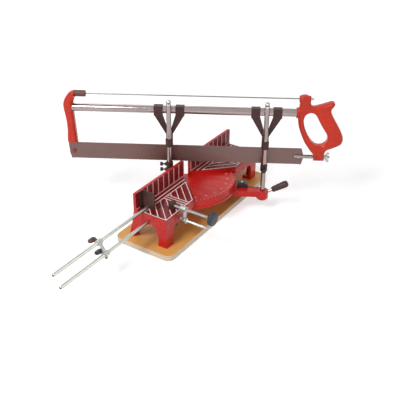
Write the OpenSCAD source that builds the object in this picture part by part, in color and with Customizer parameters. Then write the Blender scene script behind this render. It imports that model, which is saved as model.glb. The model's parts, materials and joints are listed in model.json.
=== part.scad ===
// Manual mitre saw on a plywood board, set 30 degrees from square to the right.
// The origin is on the swivel axis at the underside of the board.
// +X runs along the fence to the right, -Y faces the user and +Z is up.
// All lengths are in millimetres and all angles in degrees.

/* [Setting] */
// Angle of the saw from square, positive to the right
mitre_angle = 30; // [-25:1:40]

/* [Board] */
// Length of the board along the fence
board_l = 484; // [450:1:560]
// Front edge of the board, measured from the swivel axis
board_front = 114; // [105:1:140]
// Back edge of the board, measured from the swivel axis
board_back = 54; // [45:1:80]
// Thickness of the board
board_t = 15; // [12:0.5:22]
// Radius of the board's corners
board_r = 18; // [6:1:30]
// Depth of the counterbores under the board
counterbore_depth = 4; // [3:0.5:6]

/* [Tables and fence] */
// Distance from the swivel axis to the outer end of each table
bed_end = 216; // [205:1:230]
// Distance from the fence face to the front edge of each table
bed_front = 87; // [84:1:90]
// Height of the work surface above the board
table_h = 80; // [78:1:90]
// Thickness of the table plates below their ribs
plate_t = 11; // [9:0.5:12]
// Thickness of the casting's walls
wall_t = 8; // [6:0.5:9]
// Half of the gap between the two fences
gap_half = 15; // [13:0.5:18]
// Height of the fences above the work surface
fence_h = 43; // [36:1:50]
// Thickness of the fences
fence_t = 9; // [8:0.5:11]
// Depth of the front aprons below the work surface
apron_h = 29; // [26:1:32]
// Width of the front legs along the fence
leg_w = 28; // [24:1:34]
// Depth of the front legs
leg_d = 26; // [22:1:32]
// Width of the back legs along the fence
back_leg_w = 22; // [18:1:28]
// How far the back feet reach out behind the fence
back_splay = 17; // [14:1:24]
// Thickness of the pads in the feet
foot_t = 8; // [6:0.5:12]
// Height of the machined ribs
rib_h = 1; // [0.6:0.1:1.4]
// Width of the ribs on the tables
rib_w = 2.4; // [1.6:0.1:3.4]
// Spacing of the slanting ribs on the tables and the upright ribs on the fences
rib_pitch = 22; // [16:1:26]
// Distance of the border ribs from the edges of the tables
rib_inset = 1.4; // [1.2:0.2:4]
// Distance of the slanting ribs from the fences
rib_back = 21; // [16:1:26]
// Distance of the straight ribs across the tables from the swivel axis
rib_cross_x = 126; // [118:1:140]
// Width of the band that the straight ribs enclose
rib_cross_w = 17; // [12:1:20]
// Width of the upright ribs on the fences
fence_rib_w = 3.4; // [2.4:0.2:6]

/* [Dial] */
// Radius of the dial under the saw
dial_r = 126; // [120:0.5:127]
// Height of the dial's skirt
dial_h = 20; // [16:1:21]
// Thickness of the dial's top
dial_t = 8; // [6:0.5:10]
// Thickness of the dial's skirt
dial_wall = 6; // [4:0.5:8]
// Height of the raised edge round the dial
dial_rim_h = 1.6; // [0.8:0.1:2.2]
// Width of the raised edge round the dial
dial_rim_w = 3.6; // [2.4:0.2:6]
// How far the lower lip stands out from the skirt
dial_lip = 2; // [1:0.2:2.2]
// Height of the lower lip
dial_lip_h = 6; // [4:0.5:8]
// Angle between the raised marks of the scale
mark_step = 5; // [5:5:15]
// Length of the raised marks of the scale
mark_l = 7; // [4:0.5:9]

/* [Swing arm] */
// Diameter of the swivel bolt
pivot_d = 12; // [10:0.5:14]
// Radius of the hub of the arm
hub_r = 22; // [18:0.5:25]
// Height of the arm's beam
arm_h = 16; // [12:0.5:18]
// Width of the arm's beam
arm_w = 25; // [20:0.5:28]
// Distance from the swivel axis to the front post, along the saw
post_front = 197; // [188:1:210]
// Distance from the swivel axis to the rear post, along the saw
post_rear = 44; // [42:0.5:50]
// Distance of the posts from the plane of the blade
post_side = 18; // [17.5:0.1:19]
// Diameter of the posts
post_d = 12; // [10:0.2:12.4]
// Height of the top of the posts
post_top = 293; // [285:1:310]
// Radius of the bosses that carry the posts
boss_r = 15.5; // [13:0.5:17]
// Height of the caps on the posts
cap_h = 13; // [8:0.5:18]
// Length of the lock handle's grip
grip_l = 45; // [36:1:60]
// Largest diameter of the lock handle's grip
grip_d = 16; // [13:0.5:19]
// Angle at which the lock handle rises
grip_rise = 28; // [15:1:35]

/* [Saw frame] */
// Height of the tube's axis
tube_z = 275; // [270:1:282]
// Diameter of the tube
tube_d = 20; // [18:0.2:21]
// Wall of the tube
tube_wall = 1.5; // [1:0.1:3]
// Left end of the tube, along the saw from the swivel axis
tube_left = 298; // [296:1:302]
// Height of the blade's middle
blade_z = 155; // [152:1:158]
// Height of the blade from back to toothed edge
blade_w = 46; // [40:0.5:48]
// Thickness of the blade
blade_t = 1; // [0.7:0.1:1.2]
// Left end of the blade, along the saw from the swivel axis
blade_left = 306; // [303:1:310]
// Right end of the blade, along the saw from the swivel axis
blade_right = 296; // [292:1:300]
// Spacing of the teeth
tooth_pitch = 4; // [3:0.5:6]
// Depth of the teeth
tooth_depth = 1.6; // [0.8:0.1:2.4]
// Height of the tension rod's axis above the tube's
rod_rise = 37; // [36:0.5:37.5]
// Diameter of the tension rod
rod_d = 3; // [2.4:0.2:4]
// Thickness of the front arm
front_arm_t = 24; // [23:0.5:27]
// Thickness of the handle
handle_t = 25; // [22:0.5:30]
// Radius on the edges of the handle
handle_round = 8; // [5:0.5:9]
// Diameter of the blade clamp's bolt
clevis_bolt_d = 6; // [5:0.2:7]
// Diameter of the blade clamp
clevis_d = 10; // [9:0.2:12]

/* [Guides and depth stops] */
// Height of the guides' heads
head_h = 25; // [24:0.5:28]
// Width of the guides' heads along the saw
head_w = 22; // [18:0.5:24]
// Distance of the guides' heads from the post, along the saw
head_off = 27; // [24:0.5:30]
// Bottom of the guides' collars
collar_z = 183; // [180:0.5:186]
// Height of the guides' collars
collar_h = 20; // [16:0.5:24]
// Radius of the guides' collars
collar_r = 9.5; // [8.5:0.1:10]
// Top of the upper depth stops
stop_top = 139; // [134:0.5:139.5]
// Height of the front depth stop
front_stop_h = 18; // [14:0.5:22]
// Height of each rear depth stop
rear_stop_h = 15; // [12:0.5:17]
// Radius of the depth stops
stop_r = 8.8; // [8:0.1:9.2]
// Diameter of the depth stops' thumbscrews
thumb_d = 4; // [3:0.2:5]
// Diameter of the thumbscrews' heads
thumb_head_d = 10; // [8:0.5:12]

/* [Length stop] */
// Diameter of the stop's rods
stop_rod_d = 8; // [6:0.2:8.4]
// Outer end of the rods, measured from the swivel axis
stop_rod_end = 516; // [460:1:560]
// Distance of the upper rod in front of the fence
upper_rod_y = 18; // [14:0.5:22]
// Distance of the lower rod in front of the fence
lower_rod_y = 35; // [32:0.5:38]
// Height of the lower rod's axis
lower_rod_z = 75; // [74.5:0.5:77]
// Distance of the bracket from the swivel axis
bracket_x = 372; // [345:1:400]
// Length of the bracket along the rods
bracket_l = 14; // [12:1:24]
// Radius of the bracket's sleeves
sleeve_r = 6.6; // [6.2:0.1:8]
// Distance of the stop plate's face from the swivel axis
stop_x = 194; // [186:1:200]
// Thickness of the stop plate
stop_t = 3; // [2:0.5:5]
// Height of the stop plate
stop_h = 45; // [38:1:52]
// Width of the stop plate out from the fence
stop_w = 37; // [34:1:44]
// Length of the stop plate's flange along the fence
stop_flange = 11; // [8:1:26]

/* [Work clamp] */
// Distance of the clamp from the swivel axis
clamp_x = 164; // [156:1:170]
// Height of the clamp rod's axis
clamp_rod_z = 75; // [74:0.5:77]
// Diameter of the clamp rod
clamp_rod_d = 6.4; // [6:0.2:8.4]
// Front end of the clamp rod, measured from the fence
clamp_rod_end = 166; // [150:1:180]
// Height of the clamp screw's axis above the work surface
clamp_screw_h = 11; // [10:0.5:13]
// Diameter of the clamp screw
clamp_screw_d = 6.4; // [6:0.2:8.4]
// Distance of the clamp bracket's middle from the fence
clamp_bracket_y = 101; // [99:0.5:106]
// Distance of the jaw's face from the fence
jaw_y = 61; // [58:0.5:63]
// Thickness of the jaw
jaw_t = 14; // [13:0.5:18]
// Width of the jaw
jaw_w = 16; // [14:0.5:24]
// Height of the jaw
jaw_h = 18; // [17:0.5:24]
// Diameter of the clamp's knob
knob_d = 34; // [28:0.5:38]
// Thickness of the clamp's knob
knob_t = 15; // [12:0.5:22]
// Back face of the clamp's knob, measured from the fence
knob_y = 172; // [168:0.5:180]

/* [Fits] */
// Radial clearance of pieces that are fixed together
fit = 0.02; // [0.01:0.01:0.04]
// Radial clearance of pieces that turn or slide
run = 0.05; // [0.03:0.01:0.09]
// Gap between faces that pass each other
air = 0.4; // [0.3:0.1:0.5]

/* [Hidden] */
$fn = 48;
// A length that reaches through anything it cuts
far = 1200;

// Heights of the castings
table_z = board_t + table_h;
plate_top = table_z - rib_h;
plate_bot = plate_top - plate_t;
apron_z = table_z - apron_h;
dial_top = plate_bot;
dial_bot = dial_top - dial_h;
arm_top = dial_bot - 1;
arm_bot = arm_top - arm_h;

// Fasteners of the base
board_screw_r = 2.2;
board_screw_head_r = 4.5;
board_screw_head_h = 3;
dial_screw_r = 3;
dial_screw_head_r = 5;
dial_screw_head_h = 4;
dial_screw_grip = 8;
dial_screw_places = [[62, -24], (dial_r - 19.3) * [cos(30.4), -sin(30.4)]];

// Places of the feet's screws on the right side
front_foot = [bed_end - leg_w / 2, -bed_front + leg_d / 2];
back_foot_d = 13;
back_foot = [bed_end - back_leg_w / 2, fence_t + back_splay - back_foot_d / 2];

// Saw frame: x runs along the saw to its handle and y points away from the posts
saw_dir = mitre_angle - 90;
pivot_r = pivot_d / 2;
post_r = post_d / 2;
arm_bend = 60;
post_y = -post_side;
boss_top = arm_top + 0.8;
front_boss_bot = arm_bot - 9;
post_bot = front_boss_bot + 3;
tube_r = tube_d / 2;
rod_z = tube_z + rod_rise;
rod_r = rod_d / 2;
blade_top = blade_z + blade_w / 2;
blade_bot = blade_z - blade_w / 2;
blade_pin_s = -blade_left + 13;
blade_pin_r = 3;
clevis_pin_s = blade_right - 13;
clevis_pin_r = 2;
clevis_bolt_reach = 15;
clevis_tip = blade_right - 23;
clevis_end = blade_right + 25;
lower_boss = [clevis_end + 1, clevis_end + 27];
upper_boss = [275, 302];
handle_socket = [270, 285];
front_arm_round = 7;
ferrule = [-279, -251];
ferrule_r = 8;
spigot_l = 8;
spigot_r = 2.5;

// Stops and clamp
upper_rod_z = table_z + stop_rod_d / 2 + 1;
stop_rod_r = stop_rod_d / 2;
clamp_rod_r = clamp_rod_d / 2;
clamp_screw_z = table_z + clamp_screw_h;
clamp_screw_r = clamp_screw_d / 2;
socket_r = 9;
bracket_web = 6.4;
jaw_bore = 9;
thumb_r = thumb_d / 2;
wing_screw_r = 2.5;

// Outline of the handle along the saw and up, from its upper boss anticlockwise
handle_outline = [[276, rod_z + 4], [276, rod_z - 15], [274, 276], [275, 258], [278, 240], [286, 218],
    [297, 195], [311, 175], [322, 161], [327, 149], [340, 149], [347, 162], [352, 176], [369, 184],
    [387, 195], [390, 212], [382, 231], [369, 253], [357, 274], [354, 286], [359, 295], [361, 303],
    [354, 306], [344, 303], [332, 299], [319, 295], [310, 293], [304, rod_z - 14], [302, rod_z - 5],
    [300, rod_z + 4], [293, rod_z + 9], [284, rod_z + 9]];
// Outline of the handle's finger hole, with one point for each point of the outline around it
finger_outline = [[292.6, 271.8], [291.6, 269.9], [290, 265.5], [289, 257], [291.5, 243], [298, 225],
    [308.5, 206], [318.5, 195], [325, 190.5], [330, 189], [335, 189], [339.5, 190], [344, 192.5],
    [348.5, 196.5], [351.5, 203], [352, 212], [349, 221.5], [340, 235], [329, 253], [322.5, 265],
    [321, 267.5], [320, 269], [319, 270.5], [317.5, 272.5], [315.5, 274.5], [311.5, 277.2], [305, 278.5],
    [300, 277.3], [295.6, 274.6], [294.2, 273.5], [293.5, 272.9], [293, 272.4]];
// Outline of the front arm along the saw and up, from its upper end anticlockwise
front_arm_outline = [[-253, rod_z], [-259, rod_z + 6], [-268, rod_z + 7], [-278, rod_z + 7],
    [-290, rod_z + 3], [-301, rod_z - 9], [-308, 286], [-307, 265], [-304, 240], [-304, 215], [-306, 190],
    [-306, 165], [-304, 147], [-295, 136], [-285, 147], [-282, 165], [-282, 190], [-283, 215],
    [-284, 245], [-285, 270], [-283, rod_z - 21], [-277, rod_z - 10], [-268, rod_z - 7],
    [-259, rod_z - 6]];
// Outline of the arch in the tables' ends, out from the fence and up
arch_outline = [[-bed_front + leg_d, board_t - 20], [-bed_front + leg_d - 1, board_t + 26],
    [-bed_front + leg_d + 8, apron_z - 3], [-bed_front + leg_d + 22, apron_z + 2],
    [-22, apron_z - 9], [-4, board_t + 24], [fence_t + back_splay - back_foot_d - 1, board_t - 1],
    [fence_t + back_splay - back_foot_d, board_t - 20]];

// A point on a smooth curve through four points, at t between the middle two
function curve_at(a, b, c, d, t) =
    0.5 * (2 * b + (c - a) * t + (2 * a - 5 * b + 4 * c - d) * t * t + (3 * b - a - 3 * c + d) * t * t * t);
// A smooth closed curve through points, with steps to each
function smooth(p, steps) = [for (i = [0 : len(p) - 1], k = [0 : steps - 1])
    curve_at(p[(i + len(p) - 1) % len(p)], p[i], p[(i + 1) % len(p)], p[(i + 2) % len(p)], k / steps)];
function unit(v) = v / norm(v);
// How far each point of a closed anticlockwise curve can move inwards, up to r
function room_at(a, b, c, r) = let (turn = cross(b - a, c - b))
    turn > 0 ? min(r, 0.8 * norm(b - a) * norm(c - b) * norm(c - a) / (2 * turn)) : r;
function room(p, r) = [for (i = [0 : len(p) - 1])
    room_at(p[(i + len(p) - 1) % len(p)], p[i], p[(i + 1) % len(p)], r)];
// Each value replaced by the least, or by the mean, of those up to three places away
function near_values(f, i) = [for (k = [-3 : 3]) f[(i + k + len(f)) % len(f)]];
function least(f) = [for (i = [0 : len(f) - 1]) min(near_values(f, i))];
function eased(f) = [for (i = [0 : len(f) - 1]) near_values(f, i) * [1, 1, 1, 1, 1, 1, 1] / 7];
// The points of a closed anticlockwise curve moved inwards, each by its own distance
function inset(p, d) = [for (i = [0 : len(p) - 1])
    let (t = unit(p[(i + 1) % len(p)] - p[(i + len(p) - 1) % len(p)])) p[i] + d[i] * [-t[1], t[0]]];
function reversed(p) = [for (i = [len(p) - 1 : -1 : 0]) p[i]];

// Triangles between each ring of n points and the next
function ring_faces(n, rings, last) = [for (j = [0 : last], i = [0 : n - 1])
    let (a = j * n + i, b = j * n + (i + 1) % n, next = (j + 1) % rings * n - j * n)
        each [[a, b, b + next], [a, b + next, a + next]]];
// Rounded edge of a slab from its face to its side: share of the inset, and distance from the middle
function edge_profile(half, r, steps) = [for (k = [0 : steps])
    [1 - sin(90 * k / steps), half - r * (1 - cos(90 * k / steps))]];
function both_faces(half) = concat([for (h = half) [h[0], -h[1]]], reversed(half));

// Triangles across a ring of n points from one side to the other, from its point 0 to the opposite one
function ladder_faces(n, first) = [for (i = [0 : n / 2 - 1], side = [0, 1])
    let (a = first + i, b = a + 1, c = first + n - 1 - i, d = first + (n - i) % n)
        if (side == 0 ? a != d : b != c) side == 0 ? [a, b, d] : [b, c, d]];

// A slab across the saw's plane with the given long outline and rounded edges
module rounded_slab(outline, thickness, r, steps) {
    n = len(outline);
    depth = eased(least(room(outline, r)));
    rings = both_faces(edge_profile(thickness / 2, r, steps));
    last = len(rings) - 1;
    points = [for (h = rings) for (p = inset(outline, h[0] * depth)) [p[0], h[1], p[1]]];
    near = [for (f = ladder_faces(n, 0)) reversed(f)];
    polyhedron(points, concat(ring_faces(n, last + 1, last - 1), near, ladder_faces(n, last * n)),
        convexity = 6);
}

// The same with a hole, whose edges are rounded by flare; both outlines have as many points
module rounded_loop(outline, hole, thickness, r, flare, steps) {
    n = len(outline);
    depth = eased(least(room(outline, r)));
    outer = both_faces(edge_profile(thickness / 2, r, steps));
    inner = reversed(both_faces(edge_profile(thickness / 2, flare, steps)));
    points = concat([for (h = outer) for (p = inset(outline, h[0] * depth)) [p[0], h[1], p[1]]],
        [for (h = inner) for (p = inset(hole, [for (q = hole) -h[0] * flare])) [p[0], h[1], p[1]]]);
    rings = len(outer) + len(inner);
    polyhedron(points, ring_faces(n, rings, rings - 1), convexity = 8);
}

// Cylinders along the axes, from one place to another
module rod_x(x0, x1, r) translate([x0, 0, 0]) rotate([0, 90, 0]) cylinder(h = x1 - x0, r = r);
module rod_y(y0, y1, r) translate([0, y0, 0]) rotate([-90, 0, 0]) cylinder(h = y1 - y0, r = r);
module rod_z(z0, z1, r) translate([0, 0, z0]) cylinder(h = z1 - z0, r = r);
module box(x, y, z) translate([x[0], y[0], z[0]]) cube([x[1] - x[0], y[1] - y[0], z[1] - z[0]]);
// A prism along X with its outline given in Y and Z
module prism_x(x, outline) translate([x[0], 0, 0]) rotate([90, 0, 90])
    linear_extrude(x[1] - x[0]) polygon(outline);
// A prism along Y with its outline given in X and Z
module prism_y(y, outline) translate([0, y[1], 0]) rotate([90, 0, 0])
    linear_extrude(y[1] - y[0]) polygon(outline);
// A box along X with rounded long edges
module rounded_bar(x, y, z, r) {
    box(x, [y[0] + r, y[1] - r], z);
    box(x, y, [z[0] + r, z[1] - r]);
    for (j = [y[0] + r, y[1] - r], k = [z[0] + r, z[1] - r])
        translate([0, j, k]) rod_x(x[0], x[1], r);
}
// Many-sided rods along X and Y, for the two castings that are made of facets
facet_ring = [for (i = [0 : 31]) [cos(11.25 * i + 3), sin(11.25 * i + 3)] / cos(360 / 64)];
module facet_rod_x(x0, x1, r) prism_x([x0, x1], r * facet_ring);
module facet_rod_y(y0, y1, r) prism_y([y0, y1], r * facet_ring);
module on_both_sides() {
    children();
    mirror([1, 0, 0]) children();
}
module on_saw() rotate([0, 0, saw_dir]) children();

// Base

module board() color([0.92, 0.62, 0.3]) difference() {
    union() {
        box([-board_l / 2, board_l / 2], [-board_front + board_r, board_back - board_r], [0, board_t]);
        box([-board_l / 2 + board_r, board_l / 2 - board_r], [-board_front, board_back], [0, board_t]);
        for (x = [-1, 1] * (board_l / 2 - board_r), y = [-board_front + board_r, board_back - board_r])
            translate([x, y, 0]) cylinder(h = board_t, r = board_r);
    }
    on_both_sides() for (p = [front_foot, back_foot]) translate(p) {
        rod_z(-1, board_t + 1, board_screw_r + fit);
        rod_z(-1, counterbore_depth, board_screw_head_r + 0.5);
    }
}

module board_screws() color([0.55, 0.56, 0.58])
    on_both_sides() for (p = [front_foot, back_foot]) translate(p) difference() {
        union() {
            rod_z(counterbore_depth - board_screw_head_h, counterbore_depth, board_screw_head_r);
            rod_z(counterbore_depth, board_t + foot_t - 1, board_screw_r);
        }
        translate([0, 0, counterbore_depth - board_screw_head_h - 1])
            for (a = [0, 90]) rotate(a) box([-3, 3], [-0.5, 0.5], [0, 2.5]);
    }

// A bar on the table from p to q, as wide and high as the ribs
module table_rib(p, q) translate([p[0], p[1], plate_top - 0.5]) rotate(atan2(q[1] - p[1], q[0] - p[0]))
    translate([-rib_w / 2, -rib_w / 2, 0]) cube([norm(q - p) + rib_w, rib_w, rib_h + 0.5]);

// Ribs of the right table: a border, straight ribs across it, slanting ones and a ridge before the fence
module table_ribs() {
    i = rib_inset + rib_w / 2;
    slant_x = gap_half + i * sqrt(2);
    back_y = -rib_back;
    front_y = -bed_front + i;
    out_x = bed_end - i;
    corners = [[slant_x - back_y, back_y], [slant_x - front_y, front_y], [out_x, front_y], [out_x, back_y]];
    for (k = [0 : 3]) table_rib(corners[k], corners[(k + 1) % 4]);
    table_rib([slant_x - back_y / 2, back_y / 2], [out_x, back_y / 2]);
    cross = [rib_cross_x - rib_cross_w / 2, rib_cross_x + rib_cross_w / 2];
    for (x = [cross[0], rib_cross_x, cross[1]]) table_rib([x, back_y], [x, front_y]);
    difference() {
        intersection() {
            for (x = [slant_x + rib_pitch : rib_pitch : bed_end])
                table_rib([x - back_y, back_y], [x - front_y, front_y]);
            box([0, out_x], [front_y, back_y], [0, far]);
        }
        box(cross, [-far, far], [0, far]);
    }
}

// Upright ribs of the right fence and the ridge along its foot
module fence_ribs() {
    foot_rib = 2.4;
    for (x = [gap_half : rib_pitch : bed_end - fence_rib_w])
        box([x, x + fence_rib_w], [0, rib_h + 0.5], [table_z, table_z + fence_h]);
    box([gap_half, bed_end], [0, rib_h + 0.5], [table_z - rib_h, table_z + foot_rib]);
}

// The right table with its fence, aprons and legs, as one casting
module bed() difference() {
    union() {
        translate([0, 0, plate_bot]) linear_extrude(plate_t) polygon([[gap_half, fence_t], [gap_half, 0],
            [gap_half + bed_front, -bed_front], [bed_end, -bed_front], [bed_end, fence_t]]);
        box([gap_half, bed_end], [rib_h, fence_t], [plate_bot, table_z + fence_h]);
        table_ribs();
        fence_ribs();
        bed_end_wall();
        bed_front_wall();
        box([bed_end - 110, bed_end - 1], [fence_t - wall_t, fence_t], [apron_z, plate_top]);
        bed_back_leg();
        box([bed_end - leg_w, bed_end], [-bed_front, -bed_front + leg_d], [board_t, board_t + foot_t]);
    }
    for (p = [front_foot, back_foot]) translate(p)
        rod_z(board_t - 1, board_t + foot_t - 0.5, board_screw_r + fit);
    for (p = dial_screw_places) translate(p)
        rod_z(plate_bot - 1, plate_bot + dial_screw_grip, dial_screw_r + fit);
}

module bed_end_wall() difference() {
    prism_x([bed_end - wall_t, bed_end], [[-bed_front, board_t], [fence_t + back_splay, board_t],
        [fence_t + 3, table_z - 25], [fence_t, plate_top], [-bed_front, plate_top]]);
    prism_x([bed_end - wall_t - 1, bed_end + 1], arch_profile());
}

function arch_profile() = concat([arch_outline[0]],
    [for (i = [1 : len(arch_outline) - 3], k = [0 : 5])
        curve_at(arch_outline[i - 1], arch_outline[i], arch_outline[i + 1], arch_outline[i + 2], k / 6)],
    [arch_outline[len(arch_outline) - 2], arch_outline[len(arch_outline) - 1]]);

module bed_front_wall() {
    inner = bed_end - leg_w;
    knee = 16;
    prism_y([-bed_front, -bed_front + wall_t], concat([[gap_half + bed_front, plate_top],
        [gap_half + bed_front, plate_bot - 7], [gap_half + bed_front + 14, apron_z]],
        [for (a = [0 : 15 : 90]) [inner - knee + knee * sin(a), apron_z - knee + knee * cos(a)]],
        [[inner, board_t], [bed_end, board_t], [bed_end, plate_top]]));
}

module bed_back_leg() prism_x([bed_end - back_leg_w, bed_end], [[fence_t - wall_t, plate_top],
    [fence_t - wall_t, apron_z], [fence_t + back_splay - back_foot_d, board_t],
    [fence_t + back_splay, board_t], [fence_t + 3, table_z - 25], [fence_t, plate_top]]);

module left_bed() color([0.72, 0.13, 0.12]) difference() {
    union() {
        mirror([1, 0, 0]) bed();
        translate([0, -lower_rod_y, lower_rod_z]) rod_x(-bed_end, -bed_end + 30, socket_r);
        translate([-clamp_x, 0, clamp_rod_z]) rod_y(-bed_front, -bed_front + 24, socket_r);
    }
    translate([0, -lower_rod_y, lower_rod_z]) rod_x(-bed_end - 1, -bed_end + 26, stop_rod_r + fit);
    translate([-clamp_x, 0, clamp_rod_z]) rod_y(-bed_front - 1, -bed_front + 20, clamp_rod_r + fit);
    translate([-clamp_x, -bed_front + 12, 0]) rod_z(0, clamp_rod_z, wing_screw_r + run);
}

module right_bed() color([0.72, 0.13, 0.12]) bed();

// The part of the plan between the two tables, clear of their slanting edges
module dial_window(z) {
    clear = gap_half - 1.5;
    reach = dial_r + 20;
    translate([0, 0, z[0]]) linear_extrude(z[1] - z[0])
        polygon([[-clear, 0], [-clear - reach, -reach], [clear + reach, -reach], [clear, 0]]);
}

module dial() color([0.82, 0.16, 0.14]) difference() {
    union() {
        difference() {
            intersection() {
                rod_z(dial_bot, dial_top, dial_r);
                box([-far, far], [-far, 0], [0, far]);
            }
            intersection() {
                rod_z(dial_bot - 1, dial_top - dial_t, dial_r - dial_wall);
                box([-far, far], [-far, -dial_wall], [0, far]);
            }
        }
        rod_z(dial_bot, dial_top, hub_r);
        intersection() {
            union() {
                difference() {
                    rod_z(dial_top - 0.5, dial_top + dial_rim_h, dial_r);
                    rod_z(dial_top - 1, dial_top + dial_rim_h + 1, dial_r - dial_rim_w);
                }
                difference() {
                    rod_z(dial_bot, dial_bot + dial_lip_h, dial_r + dial_lip);
                    rod_z(dial_bot - 1, dial_bot + dial_lip_h + 1, dial_r - 1);
                }
                for (a = [-45 : mark_step : 45]) rotate(a - 90)
                    box([dial_r - dial_rim_w - 1 - mark_l, dial_r - dial_rim_w - 1], [-0.5, 0.5],
                        [dial_top - 0.5, dial_top + 0.7]);
            }
            dial_window([dial_bot - 1, table_z]);
        }
    }
    rod_z(dial_bot - 1, dial_top - 4, pivot_r + fit);
    on_both_sides() for (p = dial_screw_places) translate(p) rod_z(0, far, dial_screw_r + fit);
}

module dial_screws() color([0.5, 0.5, 0.52])
    on_both_sides() for (p = dial_screw_places) translate(p) difference() {
        union() {
            rod_z(dial_top - dial_t - dial_screw_head_h, dial_top - dial_t, dial_screw_head_r);
            rod_z(dial_top - dial_t, dial_top + dial_screw_grip - 1, dial_screw_r);
        }
        translate([0, 0, dial_top - dial_t - dial_screw_head_h - 1]) cylinder(h = 3, r = 2.6, $fn = 6);
    }

module pivot_bolt() color([0.55, 0.56, 0.58]) {
    translate([0, 0, arm_bot - air - 8]) cylinder(h = 8, r = pivot_r * 1.7, $fn = 6);
    rod_z(arm_bot - air - 1, dial_top - 5, pivot_r);
}

// Swing arm

module swing_arm() color([0.8, 0.16, 0.14]) on_saw() difference() {
    union() {
        rod_z(arm_bot, arm_top, hub_r);
        translate([0, 0, arm_bot]) linear_extrude(arm_h) polygon([[0, -hub_r], [0, hub_r - 4],
            [arm_bend, post_y + arm_w - 6], [post_front, post_y + arm_w - 9], [post_front, post_y - 10],
            [arm_bend, post_y - 9]]);
        translate([0, 0, arm_bot]) linear_extrude(arm_h) polygon([[0, hub_r - 8], [0, -hub_r],
            [-post_rear, post_y - boss_r + 2], [-post_rear, post_y + boss_r - 2]]);
        translate([post_front, post_y, 0]) {
            rod_z(front_boss_bot + 4, boss_top, boss_r);
            translate([0, 0, front_boss_bot]) cylinder(h = 4, r1 = boss_r - 4, r2 = boss_r);
        }
        translate([-post_rear, post_y, 0]) rod_z(arm_bot, boss_top, boss_r - 1.5);
    }
    rod_z(arm_bot - 1, arm_top + 1, pivot_r + run);
    for (s = [post_front, -post_rear]) translate([s, post_y, 0]) rod_z(post_bot, far, post_r + fit);
    lock_axis() rod_x(-far, far, lock_stud_r + run);
    for (s = index_screw_places) translate([s, index_y, 0]) rod_z(arm_top - 8, far, 2);
}

// A black block on the arm that points at the dial's scale, with its two screws' bosses
index_y = -3;
index_w = 12;
index_s = [dial_r + dial_lip + 3.5, dial_r + dial_lip + 31];
index_screw_places = [index_s[0] + 12, index_s[1] - 6];
module index_block() color([0.13, 0.12, 0.12]) on_saw() {
    prism_y([index_y - index_w / 2, index_y + index_w / 2], [[index_s[0], arm_top], [index_s[1], arm_top],
        [index_s[1], arm_top + 9], [index_s[1] - 9, arm_top + 15], [index_s[0] + 4, arm_top + 15],
        [index_s[0], dial_top - 6]]);
    for (s = index_screw_places) translate([s, index_y, 0]) rod_z(arm_top - 7, arm_top + 1, 2 - fit);
}

module front_post() color([0.82, 0.83, 0.85]) on_saw() translate([post_front, post_y, 0])
    rod_z(post_bot, post_top, post_r);

module rear_post() color([0.82, 0.83, 0.85]) on_saw() translate([-post_rear, post_y, 0])
    rod_z(arm_bot + 1, post_top, post_r);

module post_caps() color([0.85, 0.86, 0.88]) on_saw() for (s = [post_front, -post_rear])
    translate([s, post_y, post_top]) rotate_extrude() polygon([[0, 0], [post_r, 0], [post_r, cap_h * 0.36],
        [post_r - 1.2, cap_h * 0.42], [post_r - 1.2, cap_h * 0.54], [post_r, cap_h * 0.6],
        [post_r, cap_h - 1.5], [post_r - 1.2, cap_h], [0, cap_h]]);

// Lock handle: its axis rises out of the front boss
lock_z = arm_top - 10.5;
lock_stud_r = 4;
lock_start = 9;
lock_grip_start = 26;
module lock_axis() translate([post_front, post_y, lock_z]) rotate([0, -grip_rise, 0])
    translate([boss_r - 13, 0, 0]) intersection() {
        children();
        rod_x(lock_start - 3, far, far);
    }

module lock_stud() color([0.82, 0.83, 0.85]) on_saw() lock_axis()
    rod_x(lock_start - 2, lock_grip_start + 10, lock_stud_r);

module lock_grip() color([0.17, 0.13, 0.12]) on_saw() lock_axis() difference() {
    translate([lock_grip_start, 0, 0]) rotate([0, 90, 0]) rotate_extrude()
        polygon(concat([[0, 0], [grip_d * 0.36, 0], [grip_d * 0.42, grip_l * 0.1],
            [grip_d / 2, grip_l * 0.72]],
            [for (a = [0 : 15 : 90]) [grip_d * (0.2 + 0.3 * cos(a)), grip_l * (0.8 + 0.2 * sin(a))]],
            [[0, grip_l]]));
    rod_x(0, lock_grip_start + 10.2, lock_stud_r + fit);
}

// Guides

// A guide that slides on the post at s and carries the tube in two heads
module guide(s) color([0.2, 0.15, 0.14]) on_saw() translate([s, 0, 0]) difference() {
    head_bot = tube_z - head_h / 2 + 6;
    near = post_y + post_r + air;
    stem = collar_r - 1;
    union() {
        for (side = [-1, 1]) {
            rounded_bar([side * head_off - head_w / 2, side * head_off + head_w / 2],
                [-tube_r - 5, tube_r + 5], [tube_z - head_h / 2 - 2, tube_z + head_h / 2 + 5], 5);
            prism_y([near, 3], [[side * (head_off + head_w / 2), head_bot],
                [side * (head_off - head_w / 2), head_bot], [side * 4, collar_z + collar_h + 36],
                [0, collar_z + collar_h + 28], [0, collar_z + collar_h],
                [side * stem, collar_z + collar_h], [side * stem, collar_z + collar_h + 10]]);
        }
        box([-stem, stem], [post_y, 3], [collar_z, collar_z + collar_h]);
        translate([0, post_y, 0]) rod_z(collar_z, collar_z + collar_h, collar_r);
    }
    translate([0, post_y, 0]) rod_z(0, far, post_r + run);
    translate([0, 0, tube_z]) rod_x(-far, far, tube_r + run);
}
module front_guide() guide(post_front);
module rear_guide() guide(-post_rear);

// Saw

module saw_tube() color([0.84, 0.85, 0.87]) on_saw() translate([0, 0, tube_z]) difference() {
    rod_x(-tube_left, handle_socket[1] - 1, tube_r);
    rod_x(-tube_left - 1, handle_socket[1], tube_r - tube_wall);
}

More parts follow.
